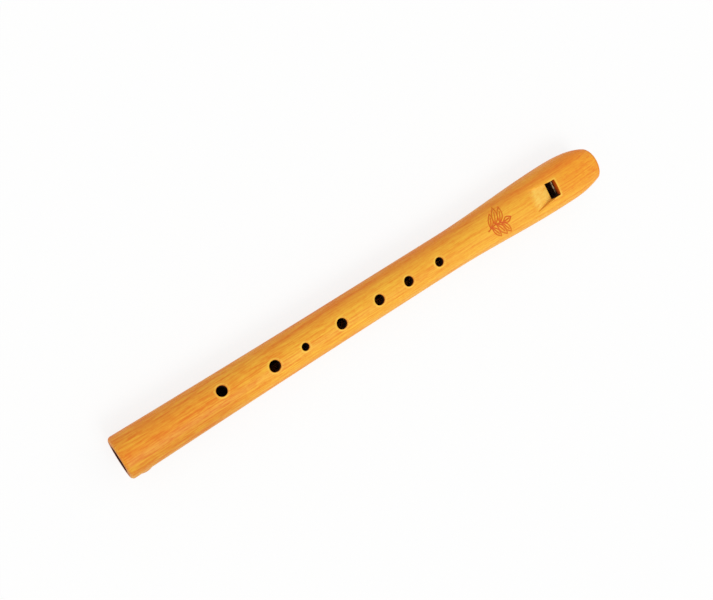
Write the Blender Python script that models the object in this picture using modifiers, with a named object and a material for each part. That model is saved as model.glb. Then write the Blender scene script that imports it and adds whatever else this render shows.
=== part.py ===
"""A one-piece wooden fipple flute with its block.

The flute lies along X with the mouthpiece at +X and the finger holes up. Stations are distances
from the foot end, and heights are measured from the bore's axis. An empty then carries every piece
to its place, with the origin under the middle of the flute.
"""

import math

import bmesh
import bpy
from mathutils import Matrix

MM = 0.001

# Body: turned straight, with a slow flare to the foot
LENGTH = 335.2 * MM
BODY_RADIUS = 11.62 * MM
FOOT_FLARE = 1.0 * MM
FOOT_FLARE_END = 130.6 * MM
FOOT_FLARE_POWER = 1.6
FOOT_EDGE_ROUND = 1.0 * MM
BORE_RADIUS = 7.2 * MM
BORE_MOUTH_ROUND = 0.8 * MM

# Head: an oval that widens to the window, then narrows to an arched tip, which leans to one side
HEAD_START = 216.9 * MM
HEAD_WIDEST = 302.1 * MM
HEAD_HALF_WIDTH = 14.55 * MM
TIP_HALF_WIDTH = 8.9 * MM
TIP_NARROWING = 2.8
TIP_LEAN = -1.0 * MM
TIP_LEAN_POWER = 7
TIP_TOP = 8.3 * MM
TIP_TOP_FALL = 2.4
TIP_MIDDLE_RISE = 3.0 * MM
TIP_SQUARENESS = 2.4
TIP_ARC_RADIUS = 29 * MM
TIP_ARC_HALF_ANGLE = math.radians(36)
BEAK_CUT_RADIUS = 72.3 * MM
BEAK_UNDERSIDE = -0.8 * MM

# Voicing: the windway, window and ramp, which decide how the flute speaks
WINDOW_HEAD_END = 299.5 * MM
CUT_UP = 5.3 * MM
VOICING_HALF_WIDTH = 5.15 * MM
WINDWAY_ROOF = 7.8 * MM
WINDWAY_FLOOR = 6.6 * MM
ROOF_FALL_TO_TIP = 1.7 * MM
FLOOR_FALL_TO_TIP = 1.6 * MM
LABIUM_UNDERSIDE = 7.3 * MM
LABIUM_THICKNESS = 0.3 * MM
UNDERCUT_ANGLE = math.radians(8)
UNDERCUT_LENGTH = 20 * MM
RAMP_LENGTH = 14.1 * MM
RAMP_FAR_HALF_WIDTH = 7.2 * MM
RAMP_FAR_BOW = 0.35 * MM
BLOCK_FRONT_CHAMFER = 0.6 * MM
FIT_GAP = 0.25 * MM

# Front finger holes from the first finger down, as station and diameter
FRONT_HOLES = (
    (207.1 * MM, 5.5 * MM),
    (184.8 * MM, 6.05 * MM),
    (163.9 * MM, 6.25 * MM),
    (137.8 * MM, 6.35 * MM),
    (113.2 * MM, 4.5 * MM),
    (93.2 * MM, 6.75 * MM),
)
LITTLE_FINGER_HOLE = (61.8 * MM, 6.3 * MM)
LITTLE_FINGER_AZIMUTH = math.radians(20.4)
THUMB_HOLE = (224.0 * MM, 5.7 * MM)
THUMB_AZIMUTH = math.pi

# Nub carved on the side away from the little finger, near the foot
NUB_STATION = 9.0 * MM
NUB_AZIMUTH = math.radians(-95)
NUB_CENTRE_RADIUS = 10.96 * MM
NUB_HALF_SIZES = (5.0 * MM, 4.0 * MM, 2.6 * MM)

# Facets
RING_STEPS = 72
BORE_STEPS = 56
HOLE_STEPS = 24
TIP_ARC_STEPS = 24
BEAK_CUT_STEPS = 180
RAMP_STEPS = 10
FOOT_EDGE_RINGS = 4
BORE_MOUTH_RINGS = 4
FLARE_RINGS = 9
HEAD_RINGS = 14
TIP_RINGS = 14
NUB_STEPS = 20
SHARP_FROM = math.radians(32)

# How far a cutter runs past what it cuts, and half of a size wider than the flute
OVERCUT = 3 * MM
OUTSIDE = 20 * MM

FOOT_BELLY_RADIUS = BODY_RADIUS + FOOT_FLARE * (1 - FOOT_EDGE_ROUND / FOOT_FLARE_END) ** FOOT_FLARE_POWER
REST_HEIGHT = FOOT_BELLY_RADIUS * math.cos(2 * math.pi / RING_STEPS)


def clear_scene():
    for obj in list(bpy.data.objects):
        bpy.data.objects.remove(obj, do_unlink=True)


def new_collection(name, rendered=True):
    collection = bpy.data.collections.new(name)
    collection.hide_render = not rendered
    bpy.context.scene.collection.children.link(collection)
    return collection


def wood(name, colour, roughness):
    material = bpy.data.materials.new(name)
    material.use_nodes = True
    shader = material.node_tree.nodes["Principled BSDF"]
    shader.inputs["Base Color"].default_value = (*colour, 1)
    shader.inputs["Roughness"].default_value = roughness
    shader.inputs["Metallic"].default_value = 0
    material.diffuse_color = (*colour, 1)
    return material


def share(station, start, end):
    """How far a station lies on the way from start to end, held between 0 and 1."""
    return min(max((station - start) / (end - start), 0.0), 1.0)


def ease(value):
    return value * value * (3 - 2 * value)


def signed_power(value, power):
    return math.copysign(abs(value) ** power, value)


def spread(start, end, count):
    """Stations from start up to, but not including, end."""
    return [start + (end - start) * step / count for step in range(count)]


def turned_radius(station):
    """The outside radius that the lathe leaves, with the foot's flare and its rounded edge."""
    flare = FOOT_FLARE * (1 - share(station, 0, FOOT_FLARE_END)) ** FOOT_FLARE_POWER
    into_edge = max(FOOT_EDGE_ROUND - station, 0)
    inset = FOOT_EDGE_ROUND - math.sqrt(FOOT_EDGE_ROUND**2 - into_edge**2)
    return BODY_RADIUS + flare - inset


def outside_point(station, angle):
    """A point of the outside: on a circle along the body, and on a fuller oval along the head."""
    radius = turned_radius(station)
    to_tip = share(station, HEAD_WIDEST, LENGTH)
    half_width = radius + (HEAD_HALF_WIDTH - BODY_RADIUS) * ease(share(station, HEAD_START, HEAD_WIDEST))
    half_width -= (HEAD_HALF_WIDTH - TIP_HALF_WIDTH) * to_tip**TIP_NARROWING
    middle = TIP_MIDDLE_RISE * ease(to_tip)
    top = radius - (BODY_RADIUS - TIP_TOP) * to_tip**TIP_TOP_FALL
    reach = top - middle if math.sin(angle) > 0 else radius + middle
    power = 2 / (2 + (TIP_SQUARENESS - 2) * ease(share(station, HEAD_START, LENGTH)))
    across = half_width * signed_power(math.cos(angle), power) + TIP_LEAN * to_tip**TIP_LEAN_POWER
    height = middle + reach * signed_power(math.sin(angle), power)
    return station, across, height


def body_stations():
    edge = [
        FOOT_EDGE_ROUND * (1 - math.cos(math.pi / 2 * step / FOOT_EDGE_RINGS))
        for step in range(FOOT_EDGE_RINGS)
    ]
    flare = spread(FOOT_EDGE_ROUND, FOOT_FLARE_END, FLARE_RINGS)
    head = spread(HEAD_START, HEAD_WIDEST, HEAD_RINGS)
    tip = spread(HEAD_WIDEST, LENGTH, TIP_RINGS)
    return [*edge, *flare, FOOT_FLARE_END, *head, *tip, LENGTH, LENGTH + OVERCUT]


def fill_loft(shape, sections):
    """Joins sections of equally many points side by side and closes the two ends."""
    rings = [[shape.verts.new(point) for point in section] for section in sections]
    for near, far in zip(rings, rings[1:]):
        for step in range(len(near)):
            after = (step + 1) % len(near)
            shape.faces.new((near[step], near[after], far[after], far[step]))
    shape.faces.new(rings[0])
    shape.faces.new(rings[-1])


def add_object(name, collection, carrier, shape):
    """An object from a bmesh, carried by the empty on the bore's axis."""
    bmesh.ops.recalc_face_normals(shape, faces=shape.faces)
    mesh = bpy.data.meshes.new(name)
    shape.to_mesh(mesh)
    shape.free()
    obj = bpy.data.objects.new(name, mesh)
    obj.parent = carrier
    collection.objects.link(obj)
    return obj


def add_cutter(name, collection, carrier, shape):
    cutter = add_object(name, collection, carrier, shape)
    cutter.hide_render = True
    cutter.display_type = "WIRE"
    return cutter


def add_boolean(obj, other, operation):
    modifier = obj.modifiers.new(f"{operation} {other.name}", "BOOLEAN")
    modifier.object = other
    modifier.operation = operation
    modifier.solver = "EXACT"


def cylinder(length, radius, steps, matrix):
    """A closed cylinder about Z, then placed by the matrix."""
    shape = bmesh.new()
    bmesh.ops.create_cone(
        shape, cap_ends=True, segments=steps, radius1=radius, radius2=radius, depth=length, matrix=matrix
    )
    return shape


def box(low, high):
    """A box between its lowest and highest corners."""
    shape = bmesh.new()
    bmesh.ops.create_cube(shape, size=1)
    for vertex in shape.verts:
        for axis in range(3):
            centre = (low[axis] + high[axis]) / 2
            vertex.co[axis] = centre + vertex.co[axis] * (high[axis] - low[axis])
    return shape


def tilted_cutter(name, collection, carrier, pivot, low, high, tilt):
    """A box cutter that turns about a line across the flute, so one of its faces slopes."""
    cutter = add_cutter(name, collection, carrier, box(low, high))
    cutter.location = pivot
    cutter.rotation_euler = (0, tilt, 0)
    return cutter


def outward(station, azimuth, radius):
    """The frame at a point of the wall whose Z points out of the flute; azimuth 0 is up."""
    return (
        Matrix.Translation((station, 0, 0))
        @ Matrix.Rotation(-azimuth, 4, "X")
        @ Matrix.Translation((0, 0, radius))
    )


def make_blank(collection, carrier):
    """The wood's outside, lofted from the round foot to the oval head.

    Each ring leaves out its lowest point, so the flute lies on a narrow facet and not on an edge.
    """
    shape = bmesh.new()
    lowest = RING_STEPS * 3 // 4
    angles = spread(0, 2 * math.pi, RING_STEPS)
    angles.pop(lowest)
    fill_loft(shape, [[outside_point(station, angle) for angle in angles] for station in body_stations()])
    return add_object("flute_body", collection, carrier, shape)


def make_nub(collection, carrier):
    shape = bmesh.new()
    scale = Matrix.Diagonal((*NUB_HALF_SIZES, 1))
    place = outward(NUB_STATION, NUB_AZIMUTH, NUB_CENTRE_RADIUS)
    bmesh.ops.create_uvsphere(shape, u_segments=NUB_STEPS, v_segments=NUB_STEPS // 2, radius=1, matrix=place @ scale)
    return add_cutter("nub", collection, carrier, shape)


def make_bore_cutter(collection, carrier):
    """The bore as a turned profile that opens in a quarter round at the foot."""
    end = LENGTH + 2 * OVERCUT
    profile = [(end, 0), (end, BORE_RADIUS)]
    for step in range(BORE_MOUTH_RINGS + 1):
        angle = math.pi / 2 * step / BORE_MOUTH_RINGS
        station = BORE_MOUTH_ROUND * (1 - math.sin(angle))
        profile.append((station, BORE_RADIUS + BORE_MOUTH_ROUND * (1 - math.cos(angle))))
    profile += [(-OVERCUT, BORE_RADIUS + BORE_MOUTH_ROUND), (-OVERCUT, 0)]
    shape = bmesh.new()
    points = [shape.verts.new((radius, 0, station)) for station, radius in profile]
    for first, second in zip(points, points[1:]):
        shape.edges.new((first, second))
    cutter = add_cutter("bore_cutter", collection, carrier, shape)
    cutter.rotation_euler = (0, math.pi / 2, 0)
    turn = cutter.modifiers.new("turn", "SCREW")
    turn.steps = BORE_STEPS
    turn.render_steps = BORE_STEPS
    turn.use_merge_vertices = True
    turn.merge_threshold = 0.01 * MM
    return cutter


def make_hole_cutters(collection, carrier):
    """One drill for each finger hole, long enough for one wall only."""
    holes = [(f"front_hole_{number}", *hole, 0) for number, hole in enumerate(FRONT_HOLES, start=1)]
    holes.append(("little_finger_hole", *LITTLE_FINGER_HOLE, LITTLE_FINGER_AZIMUTH))
    holes.append(("thumb_hole", *THUMB_HOLE, THUMB_AZIMUTH))
    cutters = []
    inner = BORE_RADIUS / 2
    outer = BODY_RADIUS + OVERCUT
    for name, station, diameter, azimuth in holes:
        place = outward(station, azimuth, (inner + outer) / 2)
        shape = cylinder(outer - inner, diameter / 2, HOLE_STEPS, place)
        cutters.append(add_cutter(name, collection, carrier, shape))
    return cutters


def make_window_cutters(collection, carrier):
    """The window, the windway's roof and sides, and the undercut that thins the labium."""
    labium = WINDOW_HEAD_END - CUT_UP
    inner = BORE_RADIUS / 2
    side = VOICING_HALF_WIDTH
    window = add_cutter(
        "window_cutter", collection, carrier, box((labium, -side, inner), (WINDOW_HEAD_END, side, OUTSIDE))
    )
    roof_slope = math.atan2(ROOF_FALL_TO_TIP, LENGTH - WINDOW_HEAD_END)
    windway = tilted_cutter(
        "windway_cutter", collection, carrier,
        (WINDOW_HEAD_END, 0, WINDWAY_ROOF),
        (-CUT_UP / 2, -side, inner - WINDWAY_ROOF),
        (LENGTH + OVERCUT - WINDOW_HEAD_END, side, 0),
        roof_slope,
    )  # fmt: skip
    undercut = tilted_cutter(
        "undercut_cutter", collection, carrier,
        (labium, 0, LABIUM_UNDERSIDE),
        (-UNDERCUT_LENGTH, -side, inner - LABIUM_UNDERSIDE),
        (CUT_UP / 2, side, 0),
        -UNDERCUT_ANGLE,
    )  # fmt: skip
    return [window, windway, undercut]


def outside_height(station, across):
    """Height of the outside above a point of the upper half, found by halving the angle's range."""
    low, high = 0.0, math.pi / 2
    for _ in range(40):
        angle = (low + high) / 2
        if outside_point(station, angle)[1] > across:
            low = angle
        else:
            high = angle
    return outside_point(station, high)[2]


def ramp_section(along):
    """A section of the ramp's cutter: straight at the labium, and the outside's own curve at the far end.

    There its middle is a little lower, so it runs out further along in an arch.
    """
    labium = WINDOW_HEAD_END - CUT_UP
    edge_height = LABIUM_UNDERSIDE + LABIUM_THICKNESS
    far = labium - RAMP_LENGTH
    station = labium - RAMP_LENGTH * along
    section = []
    for step in range(RAMP_STEPS + 1):
        side = 2 * step / RAMP_STEPS - 1
        far_across = RAMP_FAR_HALF_WIDTH * side
        far_height = outside_height(far, abs(far_across)) - RAMP_FAR_BOW * (1 - side**2)
        across = VOICING_HALF_WIDTH * side * (1 - along) + far_across * along
        section.append((station, across, edge_height + (far_height - edge_height) * along))
    return [*section, (station, section[-1][1], OUTSIDE), (station, section[0][1], OUTSIDE)]


def make_ramp_cutter(collection, carrier):
    shape = bmesh.new()
    into_window = -CUT_UP / 2 / RAMP_LENGTH
    past_far_end = 1.2
    fill_loft(shape, [ramp_section(into_window), ramp_section(past_far_end)])
    return add_cutter("ramp_cutter", collection, carrier, shape)


def make_beak_cutter(collection, carrier):
    """A wide drum under the beak, whose side carves the hollow underside."""
    place = Matrix.Translation((LENGTH, 0, BEAK_UNDERSIDE - BEAK_CUT_RADIUS)) @ Matrix.Rotation(math.pi / 2, 4, "X")
    shape = cylinder(2 * OUTSIDE, BEAK_CUT_RADIUS, BEAK_CUT_STEPS, place)
    return add_cutter("beak_cutter", collection, carrier, shape)


def make_tip_cutter(collection, carrier):
    """A block with a hollow round side, which leaves the tip as an arc seen from above."""
    centre = LENGTH - TIP_ARC_RADIUS
    corner = centre + TIP_ARC_RADIUS * math.cos(TIP_ARC_HALF_ANGLE)
    past = LENGTH + 2 * OVERCUT
    outline = [(past, -OUTSIDE), (corner, -OUTSIDE)]
    for step in range(TIP_ARC_STEPS + 1):
        angle = TIP_ARC_HALF_ANGLE * (2 * step / TIP_ARC_STEPS - 1)
        across = TIP_LEAN + TIP_ARC_RADIUS * math.sin(angle)
        outline.append((centre + TIP_ARC_RADIUS * math.cos(angle), across))
    outline += [(corner, OUTSIDE), (past, OUTSIDE)]
    shape = bmesh.new()
    face = shape.faces.new([shape.verts.new((x, y, -OUTSIDE)) for x, y in outline])
    raised = bmesh.ops.extrude_face_region(shape, geom=[face])["geom"]
    points = [item for item in raised if isinstance(item, bmesh.types.BMVert)]
    bmesh.ops.translate(shape, verts=points, vec=(0, 0, 2 * OUTSIDE))
    return add_cutter("tip_cutter", collection, carrier, shape)


def make_plug(collection, carrier):
    """The block before it is shaped: a cylinder that fits the bore."""
    start = WINDOW_HEAD_END
    end = LENGTH + OVERCUT
    place = Matrix.Translation(((start + end) / 2, 0, 0)) @ Matrix.Rotation(math.pi / 2, 4, "Y")
    shape = cylinder(end - start, BORE_RADIUS - FIT_GAP, BORE_STEPS, place)
    return add_object("fipple_block", collection, carrier, shape)


def make_block_cutters(collection, carrier):
    """The rail that carries the windway's floor, the floor's slope and its front chamfer."""
    start = WINDOW_HEAD_END
    end = LENGTH + OVERCUT
    side = VOICING_HALF_WIDTH - FIT_GAP
    rail = add_cutter("block_rail", collection, carrier, box((start, -side, 0), (end, side, WINDWAY_ROOF)))
    floor = tilted_cutter(
        "floor_cutter", collection, carrier,
        (start, 0, WINDWAY_FLOOR),
        (-OVERCUT, -OUTSIDE, 0),
        (end - start + OVERCUT, OUTSIDE, OUTSIDE),
        math.atan2(FLOOR_FALL_TO_TIP, LENGTH - start),
    )  # fmt: skip
    chamfer = tilted_cutter(
        "chamfer_cutter", collection, carrier,
        (start + BLOCK_FRONT_CHAMFER, 0, WINDWAY_FLOOR),
        (-OVERCUT, -OUTSIDE, 0),
        (0, OUTSIDE, OVERCUT),
        -math.pi / 4,
    )  # fmt: skip
    return rail, [floor, chamfer]


def cut_solid(obj, joined, cutters, material):
    """Joins and cuts the piece, keeps the result as its mesh and shades it smooth between its edges."""
    for other in joined:
        add_boolean(obj, other, "UNION")
    for cutter in cutters:
        add_boolean(obj, cutter, "DIFFERENCE")
    bpy.context.view_layer.update()
    evaluated = obj.evaluated_get(bpy.context.evaluated_depsgraph_get())
    mesh = bpy.data.meshes.new_from_object(evaluated)
    obj.modifiers.clear()
    obj.data = mesh
    mesh.name = obj.name
    mesh.materials.clear()
    mesh.materials.append(material)
    mesh.shade_smooth()
    mesh.set_sharp_from_angle(angle=SHARP_FROM)


def main():
    clear_scene()
    pieces = new_collection("fipple_flute")
    cutters = new_collection("cutters", rendered=False)
    carrier = bpy.data.objects.new("bore_axis_at_foot", None)
    carrier.location = (-LENGTH / 2, 0, REST_HEIGHT)
    pieces.objects.link(carrier)

    mouth_cutters = [make_beak_cutter(cutters, carrier), make_tip_cutter(cutters, carrier)]
    body_cutters = [
        make_bore_cutter(cutters, carrier),
        *make_hole_cutters(cutters, carrier),
        *make_window_cutters(cutters, carrier),
        make_ramp_cutter(cutters, carrier),
        *mouth_cutters,
    ]
    body = make_blank(pieces, carrier)
    cut_solid(body, [make_nub(cutters, carrier)], body_cutters, wood("oiled_wood", (0.72, 0.36, 0.09), 0.42))

    rail, block_cutters = make_block_cutters(cutters, carrier)
    block = make_plug(pieces, carrier)
    cut_solid(block, [rail], [*block_cutters, *mouth_cutters], wood("block_wood", (0.62, 0.38, 0.2), 0.6))


main()
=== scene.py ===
"""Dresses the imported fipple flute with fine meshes, wood, a carved sprig, a floor, light and a camera.

Stations are distances from the foot end, and heights are measured from the bore's axis, both in
metres, as in the solids. in_frame() turns them into the frame, whose origin is under the middle.
"""

import math
from functools import partial

import bpy
import numpy as np
from bpy.props import FloatProperty, FloatVectorProperty, PointerProperty
from bpy.types import Operator, Panel, PropertyGroup
from mathutils import Color, Matrix, Vector


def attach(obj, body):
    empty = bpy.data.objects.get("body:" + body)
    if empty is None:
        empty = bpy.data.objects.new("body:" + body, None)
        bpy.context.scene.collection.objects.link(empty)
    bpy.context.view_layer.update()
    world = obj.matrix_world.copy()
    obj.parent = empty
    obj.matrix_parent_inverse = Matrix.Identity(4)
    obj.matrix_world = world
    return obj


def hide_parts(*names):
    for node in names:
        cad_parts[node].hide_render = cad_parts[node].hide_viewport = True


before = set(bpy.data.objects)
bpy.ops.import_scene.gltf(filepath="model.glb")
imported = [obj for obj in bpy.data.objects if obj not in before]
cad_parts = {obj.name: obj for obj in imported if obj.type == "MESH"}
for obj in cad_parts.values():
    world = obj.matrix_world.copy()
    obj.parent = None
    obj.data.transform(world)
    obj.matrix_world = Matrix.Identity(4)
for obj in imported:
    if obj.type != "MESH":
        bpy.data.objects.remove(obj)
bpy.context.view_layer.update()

bl_info = {
    "name": "Fipple flute",
    "version": (1, 0, 0),
    "blender": (4, 5, 0),
    "location": "View3D > Sidebar > Fipple flute",
    "description": "Builds a carved wooden fipple flute, its block and the studio round it",
    "category": "Object",
}

MM = 0.001

# How the outside swells and falls, as powers of the way along it
FOOT_FLARE_POWER = 1.6
TIP_NARROWING = 3.1
TIP_LEAN_POWER = 7
TIP_TOP_FALL = 2.4
TIP_SQUARENESS = 2.4

# Half of the angle of the facet that the flute lies on
FACET_HALF = math.radians(5)

# Softness of the change into the nub, and of the block's underside
NUB_BLEND = 0.6 * MM
BLOCK_BLEND = 0.3 * MM

# The sprig: its stem's sway and share of the length, and its pairs of leaves as place on the stem and size
STEM_SWAY = 0.9 * MM
STEM_SHARE = 0.66
LEAF_PAIRS = ((0.12, 0.86), (0.33, 1.0), (0.53, 0.92))
LEAF_STAGGER = 0.05
RIB_SHARE = 0.72

# How far a cutter runs past what it cuts
OVERCUT = 3 * MM
SKY = 20 * MM

# Rounds that settle a station on the tip's arch, and halvings that find a height
TIP_ROUNDS = 40
HALVINGS = 30

# Points round the bore and round a finger hole, and shares of an end's outline at which its rings lie
BORE_POINTS = 128
HOLE_POINTS = 64
END_RINGS = (0.85, 0.7, 0.5, 0.3, 0.12)

# Roundings of the window's corners at the head side and at the labium
HEAD_CORNER = 0.55 * MM
LABIUM_CORNER = 0.06 * MM

# Depths, in mm, of the rows of points on the walls of the holes and the window; the first goes to the bore
WALL_STEPS = np.array([4.0, 3.0, 2.2, 1.7, 1.3, 1.0, 0.75, 0.55, 0.4])

# How far the last row of such a wall lies beyond its fillet and above the surface, for a hole and the window
HOLE_REACH = (1.1479 * MM, 0.35 * MM)
WINDOW_REACH = (0.5 * MM, 0.16 * MM)

# Angle of a crease from which it is shaded sharp
SHARP_FROM = math.radians(38)

# How near a point lies to a face that it belongs to
TOUCH = 0.02 * MM

# Depths in mm over which an inner wall turns red, partly stain and partly painted shade, then near black as
# painted shade
STAIN_DEPTHS = (0.02, 0.35)
HOLLOW_DEPTHS = (0.25, 1.25)

# Strengths of the red on the ramp's left wall, which is painted shade, beside a hole on its head side,
# and on the foot's face, which is painted shade, and of the foot face's darker painted shade
RAMP_WALL_SHADE, HEAD_SIDE_RED, FOOT_FACE_RED_SHADE = 0.5, 0.6, 0.45
FOOT_SHADE = 0.36

# Power by which the oil fades from the middle of a carved line
CARVED_FADE = 0.6

# The painted shade line round the tip, where its edge turns from the light: how far in from the end it runs,
# its width, and the distances from the end at which it sets in on the right and on the left and is full
TIP_SHADE_INSET = 1.4 * MM
TIP_SHADE_WIDTH = 0.3 * MM
TIP_SHADE_REACH = (21 * MM, 12 * MM, 9 * MM)

# Painted highlights on the block's chamfer, where light through the window catches it: place across and half
# width, both in mm, and strength
GLINT_SPOTS = ((0.2, 1.2, 1.3), (3.1, 1.2, 1.1), (-2.5, 0.5, 0.5))

# Layers of the grain: scales along, across and up, detail, roughness, the range of the noise that turns
# dark, and weight; the dashes' weight is an input
GRAIN_LAYERS = {
    "fibre": ((48.0, 1700.0, 1700.0), 3.0, 0.65, (0.44, 0.66), 0.32),
    "streak": ((17.0, 360.0, 360.0), 4.0, 0.65, (0.42, 0.66), 0.26),
    "fleck": ((520.0, 150.0, 420.0), 2.0, 0.55, (0.50, 0.74), 0.10),
    "pore": ((190.0, 3300.0, 3300.0), 1.0, 0.55, (0.66, 0.76), 0.22),
    "dash": ((105.0, 1100.0, 1100.0), 2.0, 0.55, (0.38, 0.66), None),
    "tick": ((330.0, 1300.0, 1300.0), 2.0, 0.60, (0.40, 0.66), 0.20),
}

# Where the tree's middle lies across and above the flute, in metres
PITH = (0.0, 0.055, 0.03)

# Depth of the grain's bump, and how much of its colour the floor shows under its glow
BUMP_DEPTH = 0.06 * MM
SHOWN_SHARE = 0.22


def number(name, description, default, **kind):
    return FloatProperty(name=name, description=description, default=default, **kind)


def numbers(name, description, default, **kind):
    return FloatVectorProperty(name=name, description=description, default=default, size=len(default), **kind)


def turn(name, description, default):
    return number(name, description, math.radians(default), subtype="ANGLE")


metres = partial(number, unit="LENGTH", precision=5)
part = partial(number, min=0, max=1, subtype="FACTOR")
amount = partial(number, min=0)
lengths = partial(numbers, unit="LENGTH", precision=5)
colour = partial(numbers, min=0, max=1, subtype="COLOR")


class FluteOutside(PropertyGroup):
    """The outside of the wood, from the round foot to the oval head."""

    length: metres("Length", "Foot end to the middle of the tip", 0.3352)
    body_radius: metres("Body radius", "Radius of the straight part", 0.01162)
    foot_flare: metres("Foot flare", "How much the radius grows towards the foot", 0.001)
    foot_flare_end: metres("Flare end", "Station where the flare has run out", 0.1306)
    foot_edge_round: metres("Foot edge", "Rounding of the foot's outer edge", 0.0022)
    head_start: metres("Head start", "Station where the head begins to widen", 0.2169)
    head_widest: metres("Head widest", "Station where the head is widest", 0.3021)
    head_half_width: metres("Head half width", "Half of the head's greatest width", 0.01455)
    tip_half_width: metres("Tip half width", "Half of the width at the very tip", 0.0089)
    tip_top: metres("Tip top", "Height of the tip above the bore's axis", 0.0083)
    tip_middle_rise: metres("Tip middle", "How far the widest line rises at the tip", 0.003)
    tip_lean: metres("Tip lean", "How far the tip leans to the player's right", -0.001)
    tip_arc_radius: metres("Tip arc", "Radius of the tip's arched end, seen from above", 0.029)
    tip_edge_round: metres("Tip edge", "Rounding of the tip's edge", 0.0013)
    beak_cut_radius: metres("Beak hollow", "Radius of the hollow under the beak", 0.0723)
    beak_underside: metres("Beak underside", "Height of the underside at the tip", -0.0008)
    beak_edge_round: metres("Beak edge", "Rounding along the hollow's edge", 0.0016)
    nub_station: metres("Nub station", "Place of the carved nub along the foot", 0.009)
    nub_angle: turn("Nub angle", "Angle of the nub round the foot, from the right-hand side", 185)
    nub_radius: metres("Nub centre", "Distance of the nub's middle from the axis", 0.01096)
    nub_size: lengths("Nub size", "Half sizes along, across and out", (0.005, 0.004, 0.0026))


class FluteHoles(PropertyGroup):
    """The bore and the finger holes."""

    bore_radius: metres("Bore radius", "Radius of the bore", 0.0072)
    mouth_round: metres("Bore mouth", "Rounding of the bore's mouth at the foot", 0.0008)
    stations: lengths("Front stations", "From the foot", (0.0932, 0.1132, 0.1378, 0.1639, 0.1848, 0.2071))
    diameters: lengths(
        "Front diameters", "Their widths", (0.00675, 0.0045, 0.00635, 0.00625, 0.00605, 0.0055)
    )
    little_station: metres("Little finger station", "Place of the little finger's hole", 0.0618)
    little_diameter: metres("Little finger diameter", "Width of the little finger's hole", 0.0063)
    little_turn: turn("Little finger turn", "How far that hole is turned from the top", 20.4)
    thumb_station: metres("Thumb station", "Place of the thumb hole", 0.224)
    thumb_diameter: metres("Thumb diameter", "Width of the thumb hole", 0.0057)
    rim_round: metres("Hole rims", "Rounding of the finger holes' rims", 0.0003)


class FluteVoicing(PropertyGroup):
    """The window, the windway, the ramp and the block."""

    window_head_end: metres("Window head end", "Station where the windway opens", 0.2995)
    cut_up: metres("Cut-up", "From the windway's end to the labium", 0.0053)
    half_width: metres("Half width", "Half of the windway's and window's width", 0.00515)
    windway_roof: metres("Roof", "Height of the windway's roof at the window", 0.0078)
    windway_floor: metres("Floor", "Height of the windway's floor at the window", 0.0066)
    roof_fall: metres("Roof fall", "Fall of the roof towards the tip", 0.0017)
    floor_fall: metres("Floor fall", "Fall of the floor towards the tip", 0.0016)
    labium_underside: metres("Labium underside", "Height under the labium", 0.0073)
    labium_thickness: metres("Labium thickness", "Thickness of the labium's edge", 0.0003)
    undercut_angle: turn("Undercut", "Slope under the labium", 8)
    undercut_length: metres("Undercut length", "Length of that slope", 0.02)
    ramp_length: metres("Ramp length", "From the labium to the ramp's far end", 0.0141)
    ramp_far_bow: metres("Ramp far bow", "How much deeper the far end lies in the middle", 0.00035)
    ramp_far_blend: metres("Ramp far blend", "Softness of the ramp's far end", 0.0005)
    ramp_far_half_width: metres("Ramp far half width", "Half width of the ramp's far end", 0.0072)
    rim_round: metres("Window rims", "Rounding of the window's rims", 0.00025)
    near_side_round: metres("Ramp's sharp side", "Rounding of the ramp's crisp edge", 0.00025)
    far_side_round: metres("Ramp's soft side", "Rounding of the ramp's worn edge", 0.0009)
    block_chamfer: metres("Block chamfer", "Chamfer of the block's front edge", 0.00042)
    block_gap: metres("Block gap", "Gap seen round the block", 0.0001)


class SprigCarving(PropertyGroup):
    """A carved sprig of leaves above the first finger hole."""

    station: metres("Station", "Middle of the sprig along the flute", 0.2529)
    length: metres("Length", "Length of the whole sprig", 0.0175)
    leaf_length: metres("Leaf length", "Length of a leaf", 0.0103)
    leaf_width: metres("Leaf width", "Greatest width of a leaf", 0.0034)
    lean: turn("Lean", "Angle between a leaf and the stem", 60)
    groove_half_width: metres("Groove half width", "Half of the width of a carved line", 0.00054)
    groove_depth: metres("Groove depth", "Depth of a carved line", 0.00035)


class WoodFinish(PropertyGroup):
    """Colours and gloss of the oiled body and of the bare block."""

    light: colour("Light wood", "Oiled wood between its streaks", (0.985, 0.555, 0.044))
    dark: colour("Dark streaks", "Oiled wood in its streaks", (0.85, 0.26, 0.012))
    # Painted shade on the player's right flank, which faces away from the lamp, and a redder foot
    ruddy: colour("Ruddy tint", "What reddens the foot and the player's right", (0.94, 0.62, 0.50))
    # The carved colour also paints the shade line round the tip
    carved: colour("Carved lines", "Oil gathered in the carving", (0.70, 0.150, 0.001))
    # Red of the inner walls just below the surface, partly stain and partly painted shade; it also paints the
    # shade of the ramp's left wall, the window's end wall and the foot's face
    stained: colour("Stained walls", "Walls of the holes just below the surface", (0.74, 0.11, 0.003))
    # Painted shade: near black for the bore, deep in the holes and the window, and for the block's front,
    # where little light reaches
    hollow: colour("Hollow", "Wall of the bore and the holes", (0.022, 0.007, 0.003))
    fresh: colour("Fresh cuts", "Wood of the ramp", (1.0, 0.61, 0.10))
    # Painted highlight: lighter round the rims of the holes and the window, where their rounded edges catch
    # the light
    worn: colour("Worn edges", "Rims polished by fingers", (1.0, 0.62, 0.075))
    # Painted shade on the lit left side of the foot
    foot_tint: colour("Foot tint", "What dulls the player's left at the foot", (0.85, 0.92, 0.78))
    tip_tint: colour("Tip tint", "What the oil does to the tip", (1.0, 0.83, 0.52))
    block_light: colour("Block light", "Bare wood of the block", (0.86, 0.52, 0.20))
    block_dark: colour("Block dark", "Streaks of the block", (0.56, 0.27, 0.08))
    # Painted highlight on three spots of the block's chamfer
    block_worn: colour("Block worn", "Worn spots on the block's front edge", (1.0, 0.80, 0.50))
    roughness: part("Roughness", "Roughness of the oiled wood", 0.42)
    block_roughness: part("Block roughness", "Roughness of the bare wood", 0.62)


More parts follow.
